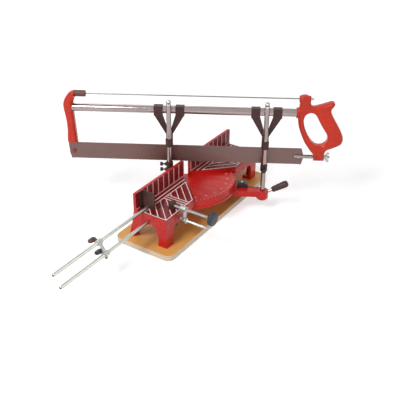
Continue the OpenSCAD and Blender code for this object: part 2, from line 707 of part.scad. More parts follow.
module front_arm() color([0.8, 0.16, 0.13]) on_saw() difference() {
    intersection() {
        box([-far, ferrule[0]], [-far, far], [0, far]);
        rounded_slab(smooth(front_arm_outline, 4), front_arm_t, front_arm_round, 5);
    }
    translate([0, 0, tube_z]) facet_rod_x(-tube_left - fit, 0, tube_r + fit);
    box([-far, 0], [-far, blade_t / 2 + fit], [0, blade_top + 4]);
    translate([0, 0, rod_z]) facet_rod_x(ferrule[0] - spigot_l - fit, 0, spigot_r + fit);
    translate([blade_pin_s, 0, blade_z - 2]) facet_rod_y(-far, far, blade_pin_r + fit);
}

module handle() color([0.8, 0.16, 0.13]) on_saw() difference() {
    union() {
        rounded_loop(smooth(handle_outline, 3), smooth(finger_outline, 3), handle_t, handle_round, 5, 4);
        translate([0, 0, tube_z]) facet_rod_x(handle_socket[0], upper_boss[0] + 2, tube_r + 3.5);
        translate([0, 0, rod_z]) facet_rod_x(upper_boss[0] - 0.5, upper_boss[1], 8);
        translate([0, 0, blade_z]) facet_rod_x(lower_boss[0], lower_boss[1], 10);
    }
    translate([0, 0, tube_z]) facet_rod_x(0, handle_socket[1], tube_r + fit);
    translate([0, 0, rod_z]) facet_rod_x(0, far, rod_r + fit);
    translate([0, 0, blade_z]) facet_rod_x(0, far, clevis_bolt_d / 2 + run);
}

// The blade with its toothed lower edge
module blade() color([0.45, 0.4, 0.38]) on_saw() difference() {
    first = -blade_left + 9;
    teeth = floor((blade_right + blade_left - 16) / tooth_pitch);
    prism_y([-blade_t / 2, blade_t / 2], concat([[blade_right - 5, blade_top], [-blade_left, blade_top],
        [-blade_left + 1, blade_bot + 16], [first - 4, blade_bot]],
        [for (i = [0 : teeth - 1]) each [[first + i * tooth_pitch, blade_bot],
            [first + (i + 0.35) * tooth_pitch, blade_bot + tooth_depth]]],
        [[first + teeth * tooth_pitch, blade_bot], [blade_right - 4, blade_bot],
        [blade_right + 1, blade_z - 4], [blade_right + 1, blade_z + 3]]));
    translate([blade_pin_s, 0, blade_z - 2]) rod_y(-far, far, blade_pin_r + fit);
    translate([clevis_pin_s, 0, blade_z]) rod_y(-far, far, clevis_pin_r + fit);
}

module blade_pin() color([0.6, 0.45, 0.4]) on_saw() translate([blade_pin_s, 0, blade_z - 2]) {
    rod_y(-blade_t / 2 - 3, -blade_t / 2, blade_pin_r + 2.2);
    rod_y(-blade_t / 2 - 1, front_arm_t / 2 + 1, blade_pin_r);
}

// A slotted round clamp that grips the blade and runs on as a bolt through the handle
module blade_clamp() color([0.82, 0.83, 0.85]) on_saw() translate([0, 0, blade_z]) difference() {
    union() {
        rod_x(clevis_tip, clevis_end, clevis_d / 2);
        rod_x(clevis_end - 1, lower_boss[1] + clevis_bolt_reach, clevis_bolt_d / 2);
    }
    box([clevis_tip - 1, blade_right + 2], [-blade_t / 2 - fit, blade_t / 2 + fit], [-far, far]);
    translate([clevis_pin_s, 0, 0]) rod_y(-far, far, clevis_pin_r + fit);
}

module clamp_pin() color([0.6, 0.6, 0.62]) on_saw() translate([clevis_pin_s, 0, blade_z])
    rod_y(-clevis_d / 2 - 1, clevis_d / 2 + 1, clevis_pin_r);

// Wings on both sides of an axis along X, between two places and out to the radius r
module wings(x, r, t) {
    tip_r = 4;
    tip = [x[1] - tip_r, r - tip_r];
    for (side = [0, 180]) rotate([side, 0, 0]) {
        prism_y([-t / 2, t / 2], [[x[0], 0], [x[0], 3], tip + tip_r * [-0.7, 0.7], tip + tip_r * [0.7, -0.7],
            [x[0] + 6, 3], [x[0] + 6, 0]]);
        translate([tip[0], 0, tip[1]]) rod_y(-t / 2, t / 2, tip_r);
    }
}

module blade_wing_nut() color([0.5, 0.5, 0.52]) on_saw() translate([0, 0, blade_z]) difference() {
    union() {
        rod_x(lower_boss[1] + air, lower_boss[1] + 9, 5.5);
        wings([lower_boss[1] + 2, lower_boss[1] + 14], 14, 2.6);
    }
    rod_x(0, far, clevis_bolt_d / 2 + run);
}

module tension_rod() color([0.72, 0.73, 0.75]) on_saw() translate([0, 0, rod_z])
    rod_x(ferrule[0] + 6, upper_boss[1] + 8, rod_r);

module rod_ferrule() color([0.42, 0.2, 0.17]) on_saw() translate([0, 0, rod_z]) difference() {
    union() {
        rod_x(ferrule[0], ferrule[1], ferrule_r);
        rod_x(ferrule[0] - spigot_l, ferrule[0] + 1, spigot_r);
    }
    rod_x(ferrule[0] + 6 - fit, 0, rod_r + fit);
}

module rod_nut() color([0.4, 0.4, 0.42]) on_saw() translate([upper_boss[1], 0, rod_z]) difference() {
    rotate([0, 90, 0]) cylinder(h = 5, r = 3.6, $fn = 6);
    rod_x(-1, 6, rod_r + fit);
}

// Depth stops

// A collar on the post at s, bored across for a screw that points the given way
module depth_stop(s, z, way) color([0.18, 0.14, 0.13]) on_saw() translate([s, post_y, 0]) difference() {
    union() {
        rod_z(z[0], z[1], stop_r);
        translate([0, 0, (z[0] + z[1]) / 2]) rotate(way) rod_x(0, stop_r + 4, 4.5);
    }
    rod_z(0, far, post_r + run);
    translate([0, 0, (z[0] + z[1]) / 2]) rotate(way) rod_x(0, far, thumb_r + run);
}

// The thumbscrew of such a collar
module stop_screw(s, z, way) color([0.12, 0.12, 0.13]) on_saw()
    translate([s, post_y, (z[0] + z[1]) / 2]) rotate(way) {
        rod_x(post_r + air, stop_r + 10, thumb_r);
        rotate([0, 90, 0]) translate([0, 0, stop_r + 9]) rotate_extrude()
            polygon([[0, 0], [thumb_head_d / 2 - 1.5, 0], [thumb_head_d / 2, 1.5], [thumb_head_d / 2, 6],
                [thumb_head_d / 2 - 1, 7], [0, 7]]);
    }

front_stop_z = [stop_top - front_stop_h, stop_top];
rear_upper_z = [stop_top - rear_stop_h, stop_top];
rear_lower_z = [rear_upper_z[0] - air - rear_stop_h, rear_upper_z[0] - air];
to_user = -90;
to_back = 180;
module front_stop() depth_stop(post_front, front_stop_z, to_user);
module front_stop_screw() stop_screw(post_front, front_stop_z, to_user);
module rear_upper_stop() depth_stop(-post_rear, rear_upper_z, to_back);
module rear_upper_screw() stop_screw(-post_rear, rear_upper_z, to_back);
module rear_lower_stop() depth_stop(-post_rear, rear_lower_z, to_back);
module rear_lower_screw() stop_screw(-post_rear, rear_lower_z, to_back);

// Length stop

// A chamfered end for a rod, pointing up
module rod_tip(r) cylinder(h = 2, r1 = r, r2 = r - 1.5);

module stop_rail() color([0.78, 0.78, 0.77]) translate([0, -lower_rod_y, lower_rod_z]) {
    rod_x(-stop_rod_end + 2, -bed_end + 26, stop_rod_r);
    translate([-stop_rod_end + 2, 0, 0]) rotate([0, -90, 0]) rod_tip(stop_rod_r);
}

module stop_slide_rod() color([0.78, 0.78, 0.77]) translate([0, -upper_rod_y, upper_rod_z]) {
    rod_x(-stop_rod_end + 2, -stop_x, stop_rod_r);
    translate([-stop_rod_end + 2, 0, 0]) rotate([0, -90, 0]) rod_tip(stop_rod_r);
}

// A bracket with one sleeve on each rod and a web between them
rod_offset = [upper_rod_z - lower_rod_z, lower_rod_y - upper_rod_y];
module stop_bracket() color([0.7, 0.7, 0.69]) difference() {
    bracket = [-bracket_x - bracket_l / 2, -bracket_x + bracket_l / 2];
    union() {
        translate([0, -upper_rod_y, upper_rod_z]) rod_x(bracket[0], bracket[1], sleeve_r);
        translate([0, -lower_rod_y, lower_rod_z]) rod_x(bracket[0], bracket[1], sleeve_r);
        translate([0, -lower_rod_y, lower_rod_z]) rotate([atan2(rod_offset[0], rod_offset[1]), 0, 0])
            box([bracket[0] + 4, bracket[1] - 4], [0, norm(rod_offset)],
                [-bracket_web / 2, bracket_web / 2]);
    }
    translate([0, -upper_rod_y, upper_rod_z]) rod_x(-far, 0, stop_rod_r + run);
    translate([0, -lower_rod_y, lower_rod_z]) rod_x(-far, 0, stop_rod_r + run);
    translate([-bracket_x, 0, upper_rod_z]) rod_y(-upper_rod_y, 0, wing_screw_r + run);
    translate([-bracket_x, 0, lower_rod_z]) rod_y(-lower_rod_y, 0, wing_screw_r + run);
    translate([-bracket_x, -lower_rod_y, lower_rod_z]) rod_z(-sleeve_r - 3, -stop_rod_r, 2 + fit);
}

module bracket_screw() color([0.15, 0.15, 0.16]) translate([-bracket_x, -lower_rod_y, lower_rod_z]) {
    rod_z(-sleeve_r - 1, -stop_rod_r - air, 2);
    rod_z(-sleeve_r - 5, -sleeve_r, 3.6);
}

// A screw along Y behind a rod at height z, with a flat paddle for the thumb
module wing_screw(y, z) translate([-bracket_x, y, z]) {
    paddle_r = 6.5;
    rod_y(stop_rod_r + air, sleeve_r + 9, wing_screw_r);
    rod_y(sleeve_r + 1, sleeve_r + 6, 4.5);
    translate([-3, sleeve_r + 5 + paddle_r, -2.2]) {
        box([-4.5, 4.5], [-paddle_r, paddle_r], [0, 4.4]);
        for (x = [-4.5, 4.5]) translate([x, 0, 0]) rod_z(0, 4.4, paddle_r);
    }
}
module rail_wing_screw() color([0.15, 0.15, 0.17]) wing_screw(-lower_rod_y, lower_rod_z);
module slide_wing_screw() color([0.3, 0.17, 0.14]) wing_screw(-upper_rod_y, upper_rod_z);

module stop_plate() color([0.25, 0.16, 0.14]) difference() {
    top = table_z + air + stop_h;
    corner = 7;
    union() {
        prism_x([-stop_x, -stop_x + stop_t], concat([[-air, table_z + air], [-air, top]],
            [for (a = [0 : 15 : 90]) [-air - stop_w + corner * (1 - sin(a)), top - corner * (1 - cos(a))]],
            [[-air - stop_w, table_z + air]]));
        box([-stop_x - stop_flange, -stop_x + 1], [-air - stop_t, -air], [table_z + air, top]);
    }
    translate([0, -upper_rod_y, upper_rod_z]) rod_x(-stop_x - 1, -stop_x + 2, stop_rod_r + fit);
}

// Work clamp

module clamp_rod() color([0.78, 0.78, 0.77]) translate([-clamp_x, 0, clamp_rod_z]) {
    rod_y(-clamp_rod_end + 2, -bed_front + 20, clamp_rod_r);
    translate([0, -clamp_rod_end + 2, 0]) rotate([90, 0, 0]) rod_tip(clamp_rod_r);
}

// The thumbscrew under the apron that holds the clamp rod
module clamp_rod_screw() color([0.14, 0.12, 0.11]) translate([-clamp_x, -bed_front + 12, 0]) {
    rod_z(clamp_rod_z - socket_r - 6, clamp_rod_z - clamp_rod_r - air, wing_screw_r);
    translate([0, 0, clamp_rod_z - socket_r - 14]) rotate_extrude()
        polygon([[0, 0], [5, 0], [6, 1], [6, 7], [5, 8], [0, 8]]);
}

module clamp_bracket() color([0.72, 0.71, 0.7]) translate([-clamp_x, -clamp_bracket_y, 0]) difference() {
    union() {
        for (z = [clamp_rod_z, clamp_screw_z]) translate([0, 0, z]) rod_y(-8, 8, sleeve_r);
        box([-sleeve_r, sleeve_r], [-3, 3], [clamp_rod_z, clamp_screw_z]);
    }
    translate([0, 0, clamp_rod_z]) rod_y(-far, far, clamp_rod_r + run);
    translate([0, 0, clamp_screw_z]) rod_y(-far, far, clamp_screw_r + run);
}

module clamp_jaw() color([0.2, 0.14, 0.13]) translate([-clamp_x, -jaw_y, table_z + air]) difference() {
    chamfer = 4;
    prism_x([-jaw_w / 2, jaw_w / 2], [[-jaw_t, 0], [0, 0], [0, jaw_h], [-jaw_t + chamfer, jaw_h],
        [-jaw_t, jaw_h - chamfer]]);
    translate([0, 0, clamp_screw_h - air]) rod_y(-far, -jaw_t + jaw_bore, clamp_screw_r + run);
}

module clamp_screw() color([0.8, 0.8, 0.8]) translate([-clamp_x, 0, clamp_screw_z])
    rod_y(-knob_y - 8, -jaw_y - jaw_t + jaw_bore - air, clamp_screw_r);

// A knob with a scalloped edge
module clamp_knob() color([0.16, 0.18, 0.22]) translate([-clamp_x, -knob_y, clamp_screw_z]) difference() {
    rotate([90, 0, 0]) rotate_extrude() polygon([[0, 0], [knob_d * 0.28, 0], [knob_d * 0.3, knob_t * 0.2],
        [knob_d / 2 - 1.5, knob_t * 0.24], [knob_d / 2, knob_t * 0.34], [knob_d / 2, knob_t - 2],
        [knob_d / 2 - 2, knob_t], [0, knob_t]]);
    rod_y(-8, 1, clamp_screw_r + fit);
    for (a = [0 : 30 : 330]) rotate([0, a, 0]) translate([knob_d / 2 + 1.6, 0, 0])
        rod_y(-knob_t - 1, -knob_t * 0.3, 2.6);
}

board();
board_screws();
left_bed();
right_bed();
dial();
dial_screws();
pivot_bolt();
swing_arm();
index_block();
front_post();
rear_post();
post_caps();
lock_stud();
lock_grip();
front_guide();
rear_guide();
saw_tube();
front_arm();
handle();
blade();
blade_pin();
blade_clamp();
clamp_pin();
blade_wing_nut();
tension_rod();
rod_ferrule();
rod_nut();
front_stop();
front_stop_screw();
rear_upper_stop();
rear_upper_screw();
rear_lower_stop();
rear_lower_screw();
stop_rail();
stop_bracket();
bracket_screw();
rail_wing_screw();
stop_slide_rod();
stop_plate();
slide_wing_screw();
clamp_rod();
clamp_rod_screw();
clamp_bracket();
clamp_jaw();
clamp_screw();
clamp_knob();
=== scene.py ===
import json
import math

import bmesh
import bpy
from mathutils import Matrix, Vector


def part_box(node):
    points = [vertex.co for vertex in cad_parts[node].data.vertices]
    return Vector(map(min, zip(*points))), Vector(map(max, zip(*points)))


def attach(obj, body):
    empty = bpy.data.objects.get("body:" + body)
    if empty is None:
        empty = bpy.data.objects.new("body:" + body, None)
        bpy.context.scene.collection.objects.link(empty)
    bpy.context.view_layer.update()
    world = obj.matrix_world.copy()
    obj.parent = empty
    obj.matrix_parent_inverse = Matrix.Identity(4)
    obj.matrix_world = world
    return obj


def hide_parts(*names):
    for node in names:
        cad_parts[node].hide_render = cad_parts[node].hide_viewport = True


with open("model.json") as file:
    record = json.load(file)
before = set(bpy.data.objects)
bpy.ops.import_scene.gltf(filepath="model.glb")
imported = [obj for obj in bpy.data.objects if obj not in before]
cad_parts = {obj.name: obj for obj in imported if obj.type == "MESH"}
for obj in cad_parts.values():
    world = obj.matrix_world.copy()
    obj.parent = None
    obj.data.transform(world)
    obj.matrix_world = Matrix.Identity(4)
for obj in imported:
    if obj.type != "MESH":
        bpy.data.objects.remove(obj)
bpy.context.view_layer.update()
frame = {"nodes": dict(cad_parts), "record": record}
NODES = frame["nodes"]
SLOTS = {row["node"]: row["material_slot"] for row in frame["record"]["subparts"]}
BODIES = {node: body for body, nodes in frame["record"]["behaviour"]["bodies"].items()
          for node in nodes}
scene = bpy.context.scene

MM = 0.001

# Camera of the photograph: where it stands, and how it is turned
EYE = Vector((-1.2344, -0.8414, 0.9186))
AZIMUTH = math.radians(-57.0)
ELEVATION = math.radians(31.2)
ROLL = math.radians(0.3)
LENS = 58.5
SENSOR = 36.0
VIEW_END = 50

# The saw points 30 degrees to the right of square, so its length runs 60 degrees below +X
SAW_TURN = math.radians(-60.0)
SAW_ALONG = Vector((math.cos(SAW_TURN), math.sin(SAW_TURN), 0))
SAW_ACROSS = Vector((-math.sin(SAW_TURN), math.cos(SAW_TURN), 0))

# Levels and spans that the finishes follow
BOARD_TOP = 15 * MM
TABLE_TOP = 95 * MM
RIB_HIGH = 1 * MM
FENCE_FACE = 0.0
FENCE_EDGE = -0.2 * MM
TABLE_EDGE = TABLE_TOP - 0.5 * MM
PLY_THICK = 3 * MM
GLUE_LINE = (1.3 * MM, 1.7 * MM)
DIAL_TOP = 83 * MM
DIAL_MARKS_END = 122 * MM
CAP_GROOVE = (298.2 * MM, 300.2 * MM)
ROD_END = -515.4 * MM
FAR_OUT = -1.0
LEVEL_SLACK = 0.35 * MM


def saw_point(along, across, up):
    """A place in the saw's own directions, in millimetres, as a point of the frame."""
    return (SAW_ALONG * along + SAW_ACROSS * across) * MM + Vector((0, 0, up * MM))


# Materials

# The range in which a noise mostly lies
NOISE_RANGE = (0.3, 0.7)


class Finish:
    """A material with a Principled shader, and short ways to wire its pattern."""

    def __init__(self, name, colour, roughness, metallic=0.0, specular=0.5):
        self.material = bpy.data.materials.new(name)
        self.material.use_nodes = True
        self.tree = self.material.node_tree
        self.shader = self.tree.nodes["Principled BSDF"]
        self.shader.inputs["Metallic"].default_value = metallic
        self.shader.inputs["Specular IOR Level"].default_value = specular
        self.shader.inputs["Roughness"].default_value = roughness
        self.shader.inputs["Base Color"].default_value = (*colour, 1.0)
        self.roughness = roughness
        self.place = self.node("ShaderNodeTexCoord").outputs["Object"]

    def node(self, kind, **settings):
        made = self.tree.nodes.new(kind)
        for key, value in settings.items():
            setattr(made, key, value)
        return made

    def feed(self, socket, value):
        if isinstance(value, bpy.types.NodeSocket):
            self.tree.links.new(value, socket)
        else:
            socket.default_value = value

    def math(self, operation, *values):
        made = self.node("ShaderNodeMath", operation=operation)
        for socket, value in zip(made.inputs, values):
            self.feed(socket, value)
        return made.outputs[0]

    def axes(self, place=None):
        made = self.node("ShaderNodeSeparateXYZ")
        self.feed(made.inputs[0], place or self.place)
        return made.outputs

    def turned(self, angle_z=0.0, scale=(1, 1, 1)):
        made = self.node("ShaderNodeMapping")
        self.feed(made.inputs["Vector"], self.place)
        made.inputs["Rotation"].default_value = (0, 0, angle_z)
        made.inputs["Scale"].default_value = scale
        return made.outputs[0]

    def noise(self, scale, detail=3.0, place=None, roughness=0.5):
        made = self.node("ShaderNodeTexNoise")
        self.feed(made.inputs["Vector"], place or self.place)
        made.inputs["Scale"].default_value = scale
        made.inputs["Detail"].default_value = detail
        made.inputs["Roughness"].default_value = roughness
        return made.outputs["Fac"]

    def ramp(self, value, low, high, out_low=0.0, out_high=1.0):
        made = self.node("ShaderNodeMapRange")
        self.feed(made.inputs["Value"], value)
        for key, number in (("From Min", low), ("From Max", high),
                            ("To Min", out_low), ("To Max", out_high)):
            made.inputs[key].default_value = number
        return made.outputs[0]

    def two_tone(self, pattern, first, second):
        """Goes from one colour to another as a noise rises."""
        return self.mix(self.ramp(pattern, *NOISE_RANGE), first, second)

    def mix(self, share, first, second):
        made = self.node("ShaderNodeMix", data_type="RGBA")
        self.feed(made.inputs["Factor"], share)
        colours = [s for s in made.inputs if s.type == "RGBA"]
        for socket, value in zip(colours, (first, second)):
            self.feed(socket, value if isinstance(value, bpy.types.NodeSocket) else (*value, 1.0))
        return [s for s in made.outputs if s.type == "RGBA"][0]

    def bump(self, height, strength, distance):
        made = self.node("ShaderNodeBump")
        made.inputs["Strength"].default_value = strength
        made.inputs["Distance"].default_value = distance
        self.feed(made.inputs["Height"], height)
        self.feed(self.shader.inputs["Normal"], made.outputs[0])

    def paint(self, colour):
        self.feed(self.shader.inputs["Base Color"], colour)

    def gloss(self, value, spread):
        """Roughness that wanders with a pattern, by spread either way."""
        self.feed(self.shader.inputs["Roughness"],
                  self.ramp(value, *NOISE_RANGE, self.roughness - spread, self.roughness + spread))

    def over(self, share, colour):
        """Paints another colour over what is there, by share."""
        painted = self.shader.inputs["Base Color"].links[0].from_socket
        self.paint(self.mix(share, painted, colour))

    def both(self, first, second):
        return self.math("MULTIPLY", first, second)

    def either(self, first, second):
        return self.math("MAXIMUM", first, second)

    def at(self, value, level):
        """1 where a coordinate is at a level, to within the slack."""
        return self.math("COMPARE", value, level, LEVEL_SLACK)


def shade(colour, factor):
    return tuple(min(1.0, c * factor) for c in colour)


RED = (0.60, 0.014, 0.011)
SAW_RED = (0.64, 0.030, 0.010)
# Painted shade for the low enamel between the tables' ribs
RECESS_SHADE_RED = (0.22, 0.006, 0.010)
RIB_PALE = (0.95, 0.84, 0.80)
FENCE_RIB = (0.84, 0.46, 0.42)
MARK_PALE = (0.80, 0.50, 0.44)
VARNISH = (0.84, 0.44, 0.12)
PLY_PALE = (0.86, 0.74, 0.58)
PLY_DARK = (0.68, 0.53, 0.36)
BROWN_BLACK = (0.060, 0.024, 0.022)
BLADE_BROWN = (0.190, 0.118, 0.108)
BLADE_STAIN = (0.17, 0.085, 0.075)
ZINC_DULL = (0.38, 0.38, 0.37)
ZINC_BRIGHT = (0.54, 0.54, 0.53)
# Painted shade in the groove of the post caps
CAP_GROOVE_PAINTED_SHADE = (0.05, 0.05, 0.05)
# Painted shade on the stop rods' far ends, where the end faces fall in shade
ROD_END_PAINTED_SHADE = (0.03, 0.03, 0.03)
CRYSTALS = 420


def red_enamel(name, colour=RED):
    """Gloss enamel on a casting, with a faint orange peel and slow drifts of tone."""
    finish = Finish(name, colour, 0.27, specular=0.32)
    finish.paint(finish.two_tone(finish.noise(14, 4), shade(colour, 0.9), shade(colour, 1.06)))
    finish.gloss(finish.noise(60), 0.06)
    finish.bump(finish.noise(260, 2), 0.1, 0.2 * MM)
    return finish


def dial_enamel():
    """The dial's enamel, with pale paint on the raised marks of its scale."""
    finish = red_enamel("dial_enamel")
    x, y, z = finish.axes()
    far_out = finish.math("SQRT", finish.math("ADD", finish.both(x, x), finish.both(y, y)))
    raised = finish.math("GREATER_THAN", z, DIAL_TOP + LEVEL_SLACK)
    mark = finish.both(raised, finish.math("LESS_THAN", far_out, DIAL_MARKS_END))
    wear = finish.ramp(finish.noise(220, 4), 0.45, 0.75)
    finish.over(mark, finish.mix(wear, MARK_PALE, shade(MARK_PALE, 0.75)))
    return finish


def bed_enamel():
    """The tables' enamel: painted shade between the ribs, with the ribs rubbed to bare pale metal."""
    finish = red_enamel("bed_enamel")
    _, y, z = finish.axes()
    before_fence = finish.math("LESS_THAN", y, FENCE_EDGE)
    over_table = finish.math("GREATER_THAN", z, TABLE_EDGE)
    table_rib = finish.both(finish.at(z, TABLE_TOP), before_fence)
    fence_rib = finish.both(finish.at(y, FENCE_FACE), over_table)
    table_low = finish.both(finish.at(z, TABLE_TOP - RIB_HIGH), before_fence)
    fence_low = finish.both(finish.at(y, FENCE_FACE + RIB_HIGH), over_table)
    # Painted shade: the low enamel between the ribs gets a darker red.
    recess_shade = finish.two_tone(finish.noise(90, 4), shade(RECESS_SHADE_RED, 0.85), shade(RECESS_SHADE_RED, 1.15))
    wear = finish.ramp(finish.noise(160, 4), 0.55, 0.75)
    rubbed = finish.mix(wear, RIB_PALE, shade(RIB_PALE, 0.82))
    finish.over(finish.either(table_low, fence_low), recess_shade)
    finish.over(finish.either(table_rib, fence_rib), finish.mix(fence_rib, rubbed, FENCE_RIB))
    return finish


def plywood():
    """Varnished plywood: long grain on the faces, glued plies on the edges."""
    finish = Finish("varnished_plywood", VARNISH, 0.34, specular=0.3)
    z = finish.axes()["Z"]
    grain = finish.noise(3.2, 8, finish.turned(scale=(3.0, 42.0, 42.0)), 0.62)
    figure = finish.noise(1.1, place=finish.turned(scale=(2.0, 14.0, 14.0)))
    face = finish.mix(finish.ramp(grain, 0.3, 0.72), shade(VARNISH, 0.84), shade(VARNISH, 1.08))
    face = finish.mix(finish.ramp(figure, 0.35, 0.7, 0.0, 0.35), face, shade(VARNISH, 0.8))
    ply = finish.math("PINGPONG", z, PLY_THICK)
    edge = finish.mix(finish.ramp(ply, *GLUE_LINE), PLY_DARK, PLY_PALE)
    stain = finish.ramp(finish.noise(240), *NOISE_RANGE, 0.0, 0.35)
    edge = finish.mix(stain, edge, shade(PLY_PALE, 0.8))
    on_face = finish.either(finish.at(z, BOARD_TOP), finish.at(z, 0.0))
    finish.paint(finish.mix(on_face, edge, face))
    finish.gloss(grain, 0.06)
    finish.bump(grain, 0.12, 0.2 * MM)
    return finish


def bright_metal(name, colour, roughness):
    """Plated or drawn metal, with a faint cloudiness."""
    finish = Finish(name, colour, roughness, metallic=1.0)
    finish.paint(finish.two_tone(finish.noise(45, 4), shade(colour, 0.93), shade(colour, 1.07)))
    finish.gloss(finish.noise(120), 0.05)
    finish.bump(finish.noise(700, 2), 0.06, 0.1 * MM)
    return finish


def dark_band(finish, axis, low, high, colour):
    """Paints shade onto a finish between two places along an axis, as the painted shade in a groove and
    on a rod's shaded end.
    """
    place = finish.axes()[axis]
    inside = finish.both(finish.math("GREATER_THAN", place, low), finish.math("LESS_THAN", place, high))
    finish.over(inside, colour)


def zinc_plate():
    """Dull zinc with small crystals."""
    finish = Finish("zinc_plate", ZINC_DULL, 0.38, metallic=1.0)
    crystal = finish.node("ShaderNodeTexVoronoi")
    finish.feed(crystal.inputs["Vector"], finish.place)
    crystal.inputs["Scale"].default_value = CRYSTALS
    tone = finish.axes(crystal.outputs["Color"])["X"]
    finish.paint(finish.mix(tone, ZINC_DULL, ZINC_BRIGHT))
    finish.gloss(tone, 0.07)
    finish.bump(finish.noise(500), 0.1, 0.1 * MM)
    return finish


def blade_steel():
    """Brownish oiled steel with grinding marks along the blade."""
    finish = Finish("oiled_blade_steel", BLADE_BROWN, 0.36, metallic=0.75)
    along = finish.turned(angle_z=-SAW_TURN, scale=(4.0, 900.0, 900.0))
    marks = finish.noise(1.0, 5, along, 0.6)
    stain = finish.noise(9, 4)
    ground = finish.two_tone(marks, shade(BLADE_BROWN, 0.86), shade(BLADE_BROWN, 1.14))
    finish.paint(finish.mix(finish.ramp(stain, 0.45, 0.75, 0.0, 0.4), ground, BLADE_STAIN))
    finish.gloss(marks, 0.08)
    finish.bump(marks, 0.08, 0.05 * MM)
    return finish


def dark_enamel(name, colour=BROWN_BLACK):
    """Satin brown-black stoving enamel with a fine grain."""
    finish = Finish(name, colour, 0.42, specular=0.28)
    grain = finish.noise(260)
    finish.paint(finish.two_tone(finish.noise(30, 4), shade(colour, 0.8), shade(colour, 1.25)))
    finish.gloss(grain, 0.08)
    finish.bump(grain, 0.2, 0.15 * MM)
    return finish


def moulded_plastic(name, colour):
    """Moulded plastic with a fine spark texture."""
    finish = Finish(name, colour, 0.38, specular=0.35)
    spark = finish.noise(900, 2)
    finish.paint(finish.two_tone(finish.noise(50), shade(colour, 0.85), shade(colour, 1.2)))
    finish.gloss(spark, 0.06)
    finish.bump(spark, 0.15, 0.08 * MM)
    return finish


enamel = red_enamel("red_enamel")
saw_enamel = red_enamel("saw_enamel", SAW_RED)
dial_paint = dial_enamel()
beds = bed_enamel()
# Painted reflection: the chrome gets a darker, red-brown colour that stands in for the dark and red
# surroundings it mirrors.
chrome = bright_metal("chrome_plate", (0.35, 0.29, 0.285), 0.12)
cap_chrome = bright_metal("cap_plate", (0.52, 0.49, 0.49), 0.16)
# Painted shade in the groove of the post caps.
dark_band(cap_chrome, "Z", *CAP_GROOVE, CAP_GROOVE_PAINTED_SHADE)
steel = bright_metal("drawn_steel", (0.47, 0.49, 0.45), 0.26)
rod_steel = bright_metal("rod_steel", (0.50, 0.52, 0.47), 0.26)
# Painted shade on the far ends of the stop rods.
dark_band(rod_steel, "X", FAR_OUT, ROD_END, ROD_END_PAINTED_SHADE)
wire_steel = bright_metal("tension_steel", (0.24, 0.22, 0.22), 0.32)
screw_steel = bright_metal("screw_steel", (0.48, 0.47, 0.47), 0.22)
zinc = zinc_plate()
blade = blade_steel()
pin_enamel = dark_enamel("pin_enamel", (0.30, 0.035, 0.03))
guide_enamel = dark_enamel("guide_enamel")
stop_enamel = dark_enamel("stop_plate_enamel", (0.070, 0.026, 0.020))
black = moulded_plastic("black_plastic", (0.020, 0.022, 0.026))
blue_black = moulded_plastic("knob_plastic", (0.030, 0.036, 0.046))
brown = moulded_plastic("brown_plastic", (0.080, 0.034, 0.026))
grip_brown = moulded_plastic("grip_plastic", (0.055, 0.026, 0.024))
ferrule_brown = dark_enamel("ferrule_enamel", (0.16, 0.06, 0.05))
figure_paint = dark_enamel("figure_paint", MARK_PALE)
board_finish = plywood()

FINISHES = {
    "board": board_finish, "board_screws": zinc, "left_bed": beds, "right_bed": beds, "dial": dial_paint,
    "dial_screws": zinc, "pivot_bolt": zinc,
    "swing_arm": enamel, "index_block": black, "front_post": chrome, "rear_post": chrome,
    "post_caps": cap_chrome, "lock_stud": chrome, "lock_grip": grip_brown,
    "front_guide": guide_enamel, "rear_guide": guide_enamel,
    "saw_tube": chrome, "front_arm": saw_enamel, "handle": saw_enamel, "blade": blade,
    "blade_pin": pin_enamel, "blade_clamp": chrome, "clamp_pin": zinc, "blade_wing_nut": zinc,
    "tension_rod": wire_steel, "rod_ferrule": ferrule_brown, "rod_nut": zinc,
    "front_stop": guide_enamel, "front_stop_screw": black,
    "rear_upper_stop": guide_enamel, "rear_upper_screw": black,
    "rear_lower_stop": guide_enamel, "rear_lower_screw": black,
    "stop_rail": rod_steel, "stop_bracket": zinc, "bracket_screw": black, "rail_wing_screw": blue_black,
    "stop_slide_rod": rod_steel, "stop_plate": stop_enamel, "slide_wing_screw": brown,
    "clamp_rod": steel, "clamp_rod_screw": black, "clamp_bracket": zinc, "clamp_jaw": stop_enamel,
    "clamp_screw": screw_steel, "clamp_knob": blue_black,
}
for name, node in NODES.items():
    node.data.materials.clear()
    node.data.materials.append(FINISHES[name].material)

# Pieces

SMOOTH_UP_TO = math.radians(38)
FLAT_UP_TO = math.radians(0.5)
EDGE_SEGMENTS = 2
ROUND_SEGMENTS = 48
SAME_POINT = 0.002 * MM
SAME_LEVEL = 0.01 * MM
UPWARDS = Vector((0, 0, 1))
GRIP_FULLER = 1.16


def add_piece(name, shape, finish, body, slot, *stands_for):
    """Makes a finished piece of a shape that is already in its place."""
    mesh = bpy.data.meshes.new(name)
    shape.to_mesh(mesh)
    shape.free()
    mesh.materials.append(finish.material)
    mesh.shade_smooth()
    mesh.set_sharp_from_angle(angle=SMOOTH_UP_TO)
    piece = bpy.data.objects.new(name, mesh)
    scene.collection.objects.link(piece)
    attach(piece, body)
    if stands_for:
        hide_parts(*stands_for)
    return piece


def stand_in(node, ending, shape):
    """Makes a piece that takes a CAD solid's place, body and finish."""
    return add_piece(node + ending, shape, FINISHES[node], BODIES[node], SLOTS[node], node)


def only(kind, geometry):
    """The elements of one kind among what an operator gives back."""
    return [element for element in geometry if isinstance(element, kind)]


def edges_of(verts):
    """The edges at some vertices, each once and in the same order every run."""
    return list(dict.fromkeys(edge for v in verts for edge in v.link_edges))


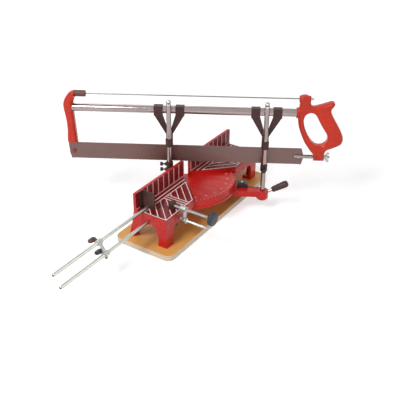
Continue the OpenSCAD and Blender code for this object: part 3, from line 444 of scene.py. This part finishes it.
def settle(shape):
    """Builds a shape anew with its elements in order of place, so that every run gives the same mesh."""
    points = sorted(shape.verts, key=lambda v: v.co[:])
    numbers = {v: i for i, v in enumerate(points)}
    rings = [[numbers[v] for v in face.verts] for face in shape.faces]
    settled = bmesh.new()
    verts = [settled.verts.new(v.co) for v in points]
    for ring in sorted(rings, key=sorted):
        settled.faces.new([verts[i] for i in ring])
    shape.free()
    return settled


def along_axis(base, axis):
    """Turns a shape that stands on the origin along Z to stand on base along axis."""
    return Matrix.Translation(base) @ UPWARDS.rotation_difference(axis).to_matrix().to_4x4()


def fuller_grip(shape):
    """Makes the lock's grip fuller round its own axis."""
    middle = sum((v.co for v in shape.verts), Vector()) / len(shape.verts)
    low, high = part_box("lock_stud")
    upright = along_axis(middle, middle - (Vector(low) + Vector(high)) / 2)
    fuller = upright @ Matrix.Diagonal((GRIP_FULLER, GRIP_FULLER, 1, 1)) @ upright.inverted()
    bmesh.ops.transform(shape, matrix=fuller, verts=shape.verts)


def round_edges(piece, width):
    """Rounds a piece's sharp edges off by width, in millimetres."""
    edge = piece.modifiers.new("soft_edges", "BEVEL")
    edge.width = width * MM
    edge.segments = EDGE_SEGMENTS
    edge.limit_method = "ANGLE"
    edge.angle_limit = SMOOTH_UP_TO
    edge.use_clamp_overlap = False
    edge.harden_normals = True


def soften(name, width):
    """A copy of a CAD solid with its sharp edges rounded off by width, in millimetres."""
    shape = bmesh.new()
    shape.from_mesh(NODES[name].data)
    bmesh.ops.remove_doubles(shape, verts=shape.verts, dist=SAME_POINT)
    bmesh.ops.dissolve_limit(shape, angle_limit=FLAT_UP_TO, verts=shape.verts, edges=shape.edges)
    if name == "lock_grip":
        fuller_grip(shape)
    piece = stand_in(name, "_soft", shape)
    if width:
        round_edges(piece, width)


SOFT_EDGES = {
    "board": 1.4, "left_bed": 0.35, "right_bed": 0.35, "dial": 0.25, "swing_arm": 0.9, "index_block": 0.6,
    "front_post": 0.4, "rear_post": 0.4, "post_caps": 0.2, "lock_stud": 0.4, "lock_grip": 0.3,
    "saw_tube": 0.4, "front_arm": 0, "handle": 0, "blade_pin": 0.8, "blade_clamp": 0.5, "clamp_pin": 0.4,
    "blade_wing_nut": 0.5, "rod_ferrule": 0.6, "rod_nut": 0.2,
    "front_stop": 0.6, "rear_upper_stop": 0.6, "rear_lower_stop": 0.6,
    "stop_rail": 0.2, "stop_slide_rod": 0.2, "stop_plate": 0.6, "stop_bracket": 0.5, "bracket_screw": 0.4,
    "rail_wing_screw": 1.2, "slide_wing_screw": 1.2,
    "clamp_rod": 0.4, "clamp_bracket": 0.5, "clamp_jaw": 0.8, "clamp_knob": 0.6,
}
for name, width in SOFT_EDGES.items():
    soften(name, width)


# Thumbscrews: the knurls' count, the share left at their hollows, and the rims' rounding in millimetres
KNURLS = 18
KNURL_DEPTH = 0.93
KNURL_RIM = 0.7


def add_rod(shape, radius, start, end, segments=24):
    """Adds a plain rod along Z, in millimetres, and gives its vertices."""
    middle = Matrix.Translation((0, 0, (start + end) / 2 * MM))
    made = bmesh.ops.create_cone(shape, cap_ends=True, segments=segments, radius1=radius * MM,
                                 radius2=radius * MM, depth=(end - start) * MM, matrix=middle)
    return made["verts"]


def add_knurled_head(shape, radius, start, end):
    """Adds a head along Z with straight knurls round it and rounded rims."""
    verts = add_rod(shape, radius, start, end, 2 * KNURLS)
    step = math.pi / KNURLS
    hollows = [v for v in verts if round(math.atan2(v.co.y, v.co.x) / step) % 2]
    bmesh.ops.scale(shape, vec=(KNURL_DEPTH, KNURL_DEPTH, 1), verts=hollows)
    rims = [e for e in edges_of(verts) if abs(e.verts[0].co.z - e.verts[1].co.z) < SAME_LEVEL]
    bmesh.ops.bevel(shape, geom=rims, offset=KNURL_RIM * MM, offset_type="OFFSET", segments=2,
                    profile=0.5, affect="EDGES", material=-1, clamp_overlap=True)


def thumb_screw(node, base, axis, shaft, head):
    """A screw with a knurled head, on base along axis."""
    shape = bmesh.new()
    add_rod(shape, *shaft)
    add_knurled_head(shape, *head)
    bmesh.ops.transform(shape, matrix=along_axis(base, axis), verts=shape.verts)
    stand_in(node, "_knurled", shape)


def thicken(shape, faces, way):
    """Gives flat faces a thickness, and gives the new vertices back."""
    made = bmesh.ops.extrude_face_region(shape, geom=faces, use_keep_orig=True)["geom"]
    raised = only(bmesh.types.BMVert, made)
    bmesh.ops.translate(shape, vec=way, verts=raised)
    return raised


def add_sleeve(shape, bore, wall, length, flat_front):
    """Adds a sleeve along Z from the origin, in millimetres; a flat front squares its -Y side."""
    inner = bmesh.ops.create_circle(shape, segments=ROUND_SEGMENTS, radius=bore * MM)["verts"]
    ring = bmesh.ops.extrude_edge_only(shape, edges=edges_of(inner))["geom"]
    outer = only(bmesh.types.BMVert, ring)
    bmesh.ops.scale(shape, vec=((bore + wall) / bore,) * 3, verts=outer)
    for v in outer:
        if flat_front and v.co.y < 0:
            v.co *= (bore + wall) * MM / max(abs(v.co.x), abs(v.co.y))
    return inner + outer + thicken(shape, only(bmesh.types.BMFace, ring), (0, 0, length * MM))


# The forked guides: measures in the saw's own directions, in millimetres
TUBE_LEVEL = 275
TUBE_BORE = 10.1
HEAD_WALL = 2.6
HEAD_SPAN = (16, 38)
FRONT_POST = 197
REAR_POST = -44
POST_LINE = -18
POST_BORE = 6.1
COLLAR_WALL = 3.4
COLLAR_SPAN = (183, 203)
STRAP_SPAN = (-11.6, -5.8)
GUIDE_EDGE = 0.7
HALF_FORK = ((38, 265), (16, 265), (4, 226), (0, 216), (0, 183), (8.5, 183), (8.5, 213))


def forked_guide(node, along):
    """A guide: a collar for the post, and a flat fork with two heads that carry the tube."""
    shape = bmesh.new()
    for start in (HEAD_SPAN[0], -HEAD_SPAN[1]):
        head = add_sleeve(shape, TUBE_BORE, HEAD_WALL, HEAD_SPAN[1] - HEAD_SPAN[0], True)
        along_tube = Matrix(((0, 0, 1, start * MM), (0, 1, 0, 0),
                             (1, 0, 0, TUBE_LEVEL * MM), (0, 0, 0, 1)))
        bmesh.ops.transform(shape, matrix=along_tube, verts=head)
    collar = add_sleeve(shape, POST_BORE, COLLAR_WALL, COLLAR_SPAN[1] - COLLAR_SPAN[0], False)
    bmesh.ops.translate(shape, vec=(0, POST_LINE * MM, COLLAR_SPAN[0] * MM), verts=collar)
    halves = []
    for side in (1, -1):
        corners = [shape.verts.new((side * x * MM, STRAP_SPAN[0] * MM, z * MM)) for x, z in HALF_FORK]
        halves.append(shape.faces.new(corners))
    bmesh.ops.remove_doubles(shape, verts=[v for f in halves for v in f.verts], dist=SAME_LEVEL)
    bmesh.ops.recalc_face_normals(shape, faces=halves)
    thicken(shape, halves, (0, (STRAP_SPAN[1] - STRAP_SPAN[0]) * MM, 0))
    bmesh.ops.recalc_face_normals(shape, faces=shape.faces)
    shape = settle(shape)
    place = Matrix.Translation(saw_point(along, 0, 0)) @ Matrix.Rotation(SAW_TURN, 4, "Z")
    bmesh.ops.transform(shape, matrix=place, verts=shape.verts)
    round_edges(stand_in(node, "_forked", shape), GUIDE_EDGE)


forked_guide("front_guide", FRONT_POST)
forked_guide("rear_guide", REAR_POST)

# Thumbscrews' shafts and heads: each a radius, a start and an end, in millimetres
STOP_SHAFT = (2.0, 6.4, 18.8)
STOP_HEAD = (5.0, 17.8, 24.8)
ROD_SCREW_PLACE = Vector((-0.164, -0.075, 0))
ROD_SCREW_SHAFT = (2.5, 58, 71.4)
ROD_SCREW_HEAD = (6.0, 52, 60)
for node, post, level, axis in (("front_stop_screw", FRONT_POST, 130, -SAW_ACROSS),
                                ("rear_upper_screw", REAR_POST, 131.5, -SAW_ALONG),
                                ("rear_lower_screw", REAR_POST, 116.1, -SAW_ALONG)):
    thumb_screw(node, saw_point(post, POST_LINE, level), axis, STOP_SHAFT, STOP_HEAD)
thumb_screw("clamp_rod_screw", ROD_SCREW_PLACE, UPWARDS, ROD_SCREW_SHAFT, ROD_SCREW_HEAD)


# The clamp's screw: its thread moves the jaw 4 mm a turn
THREAD_ROOT = 2.55
THREAD_CREST = 3.18
THREAD_LEAD = 4.0
STEPS_A_TURN = 20
CUT_SLACK = 0.001 * MM


def threaded_rod(length):
    """A two-start thread along Z from the origin, in millimetres, with closed ends."""
    shape = bmesh.new()
    radii = (THREAD_ROOT, THREAD_CREST) * 2 + (THREAD_ROOT,)
    outline = [shape.verts.new((radius * MM, 0, THREAD_LEAD * (i / 4 - 1) * MM))
               for i, radius in enumerate(radii)]
    profile = outline + [shape.edges.new(pair) for pair in zip(outline, outline[1:])]
    turns = math.ceil(length / THREAD_LEAD) + 2
    bmesh.ops.spin(shape, geom=profile, cent=(0, 0, 0), axis=UPWARDS, angle=turns * 2 * math.pi,
                   dvec=(0, 0, THREAD_LEAD * MM / STEPS_A_TURN), steps=turns * STEPS_A_TURN)
    bmesh.ops.remove_doubles(shape, verts=shape.verts, dist=SAME_LEVEL)
    for height, way in ((0, -UPWARDS), (length, UPWARDS)):
        bmesh.ops.bisect_plane(shape, geom=shape.verts[:] + shape.edges[:] + shape.faces[:],
                               dist=CUT_SLACK, plane_co=(0, 0, height * MM), plane_no=way,
                               clear_outer=True)
    bmesh.ops.holes_fill(shape, edges=[e for e in shape.edges if e.is_boundary], sides=0)
    bmesh.ops.recalc_face_normals(shape, faces=shape.faces)
    return settle(shape)


low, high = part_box("clamp_screw")
shape = threaded_rod((high[1] - low[1]) / MM)
screw_start = Vector(((low[0] + high[0]) / 2, low[1], (low[2] + high[2]) / 2))
bmesh.ops.transform(shape, matrix=along_axis(screw_start, Vector((0, 1, 0))), verts=shape.verts)
stand_in("clamp_screw", "_thread", shape)

# The index block's screw, in the saw's own directions and in millimetres
BLOCK_SCREW_PLACE = (143.5, -3, 77)
BLOCK_SCREW_R = 3.4
BLOCK_SCREW_HIGH = 2.2
BLOCK_SCREW_SUNK = 0.4
# Shares of its height or radius: the dome, the slot's depth and half its width
DOME_SHARE = 0.6
SLOT_DEEP = 0.4
SLOT_HALF = 0.14
FACES_UP = 0.9
HEAD_SEGMENTS = 32


def slotted_head(radius, height):
    """A domed screw head along Z with a slot across it."""
    shape = bmesh.new()
    verts = add_rod(shape, radius, -BLOCK_SCREW_SUNK, height, HEAD_SEGMENTS)
    top = [e for e in edges_of(verts) if min(v.co.z for v in e.verts) > height * MM - SAME_LEVEL]
    bmesh.ops.bevel(shape, geom=top, offset=height * DOME_SHARE * MM, offset_type="OFFSET", segments=4,
                    profile=0.5, affect="EDGES", material=-1, clamp_overlap=True)
    groove = radius * SLOT_HALF * MM
    for side in (-groove, groove):
        bmesh.ops.bisect_plane(shape, geom=shape.verts[:] + shape.edges[:] + shape.faces[:],
                               plane_co=(side, 0, 0), plane_no=(1, 0, 0))
    crown = [f for f in shape.faces if f.normal.z > FACES_UP and abs(f.calc_center_median().x) < groove]
    sunk = bmesh.ops.extrude_face_region(shape, geom=crown)["geom"]
    bmesh.ops.translate(shape, vec=(0, 0, -height * SLOT_DEEP * MM), verts=only(bmesh.types.BMVert, sunk))
    bmesh.ops.delete(shape, geom=crown, context="FACES")
    return settle(shape)


shape = slotted_head(BLOCK_SCREW_R, BLOCK_SCREW_HIGH)
bmesh.ops.translate(shape, vec=saw_point(*BLOCK_SCREW_PLACE), verts=shape.verts)
add_piece("index_block_screw", shape, zinc, "arm", "zinc")

# The figures of the dial's scale, in degrees either side of square
FIGURE_HIGH = 8.0 * MM
FIGURE_THICK = 0.12 * MM
FIGURE_RING = 105 * MM
FIGURE_LEVEL = DIAL_TOP + 0.1 * MM
FIGURE_ANGLES = range(-45, 46, 15)


def add_figure(shape, word, matrix):
    """Adds a plain number, made a mesh, in its place."""
    letters = bpy.data.curves.new("figure", "FONT")
    letters.body = word
    letters.size = FIGURE_HIGH
    letters.extrude = FIGURE_THICK
    letters.align_x = "CENTER"
    letters.align_y = "CENTER"
    holder = bpy.data.objects.new("figure", letters)
    scene.collection.objects.link(holder)
    bpy.context.view_layer.update()
    mesh = holder.to_mesh()
    mesh.transform(matrix)
    shape.from_mesh(mesh)
    holder.to_mesh_clear()
    bpy.data.objects.remove(holder)
    bpy.data.curves.remove(letters)


shape = bmesh.new()
for angle in FIGURE_ANGLES:
    turn = Matrix.Rotation(math.radians(angle), 4, "Z")
    add_figure(shape, str(abs(angle)), turn @ Matrix.Translation((0, -FIGURE_RING, FIGURE_LEVEL)))
bmesh.ops.remove_doubles(shape, verts=shape.verts, dist=SAME_POINT)
add_piece("dial_figures", shape, figure_paint, "base", SLOTS["dial"])

# Camera

level = Vector((math.cos(AZIMUTH), math.sin(AZIMUTH), 0))
outward = Vector((math.sin(AZIMUTH), -math.cos(AZIMUTH), 0))
back = outward * math.cos(ELEVATION) + UPWARDS * math.sin(ELEVATION)
upright = back.cross(level)
right = level * math.cos(ROLL) + upright * math.sin(ROLL)
above = back.cross(right)
lens = bpy.data.cameras.new("photo_camera")
lens.lens = LENS
lens.sensor_width = SENSOR
lens.clip_end = VIEW_END
camera = bpy.data.objects.new("photo_camera", lens)
camera.matrix_world = Matrix(((right.x, above.x, back.x, EYE.x), (right.y, above.y, back.y, EYE.y),
                              (right.z, above.z, back.z, EYE.z), (0, 0, 0, 1)))
scene.collection.objects.link(camera)
scene.camera = camera

# Floor and light

FLOOR_SIZE = 14.0
FLOOR_GAP = 0.2 * MM
FLOOR_WHITE = (0.9, 0.9, 0.9)
# The floor's glow grows from near the object to far away, in metres, so that it meets the white sky
GLOW_SPAN = (0.7, 2.2)
GLOW = (0.48, 0.74)
SKY_LIGHT = 0.27
SKY_SEEN = 1.0


def seen_directly(tree):
    """1 for what the camera, a mirror or glass sees, and 0 for what only lights the object."""
    path = tree.nodes.new("ShaderNodeLightPath")
    seen = path.outputs["Is Camera Ray"]
    for ray in ("Is Glossy Ray", "Is Transmission Ray"):
        either = tree.nodes.new("ShaderNodeMath")
        either.operation = "MAXIMUM"
        tree.links.new(seen, either.inputs[0])
        tree.links.new(path.outputs[ray], either.inputs[1])
        seen = either.outputs[0]
    return seen


floor_mesh = bpy.data.meshes.new("floor")
shape = bmesh.new()
bmesh.ops.create_grid(shape, x_segments=1, y_segments=1, size=FLOOR_SIZE / 2)
bmesh.ops.translate(shape, vec=(0, 0, -FLOOR_GAP), verts=shape.verts)
shape.to_mesh(floor_mesh)
shape.free()
floor = bpy.data.objects.new("floor", floor_mesh)
scene.collection.objects.link(floor)

paper = Finish("white_paper", FLOOR_WHITE, 0.9, specular=0.1)
paper.shader.inputs["Emission Color"].default_value = (1, 1, 1, 1)
away = paper.node("ShaderNodeVectorMath", operation="LENGTH")
paper.feed(away.inputs[0], paper.place)
glow = paper.both(seen_directly(paper.tree), paper.ramp(away.outputs["Value"], *GLOW_SPAN, *GLOW))
paper.feed(paper.shader.inputs["Emission Strength"], glow)
floor_mesh.materials.append(paper.material)

world = bpy.data.worlds.new("studio")
scene.world = world
world.use_nodes = True
sky = world.node_tree
strength = sky.nodes.new("ShaderNodeMapRange")
sky.links.new(seen_directly(sky), strength.inputs["Value"])
strength.inputs["To Min"].default_value = SKY_LIGHT
strength.inputs["To Max"].default_value = SKY_SEEN
backdrop = sky.nodes["Background"]
backdrop.inputs["Color"].default_value = (1, 1, 1, 1)
sky.links.new(strength.outputs[0], backdrop.inputs["Strength"])

# Lamps: place and size in metres, power in watts
CENTRE = Vector((-0.05, -0.03, 0.15))
LAMPS = {
    "key_lamp": ((-1.7, 0.1, 1.9), 0.9, 33),
    "fill_lamp": ((-0.1, -2.2, 1.3), 1.6, 9),
    "back_lamp": ((1.2, 1.6, 1.8), 1.4, 8),
}
for name, (place, size, power) in LAMPS.items():
    light = bpy.data.lights.new(name, "AREA")
    light.shape = "DISK"
    light.size = size
    light.energy = power
    lamp = bpy.data.objects.new(name, light)
    lamp.location = place
    lamp.rotation_euler = (CENTRE - Vector(place)).to_track_quat("-Z", "Y").to_euler()
    scene.collection.objects.link(lamp)

scene.view_settings.view_transform = "Standard"
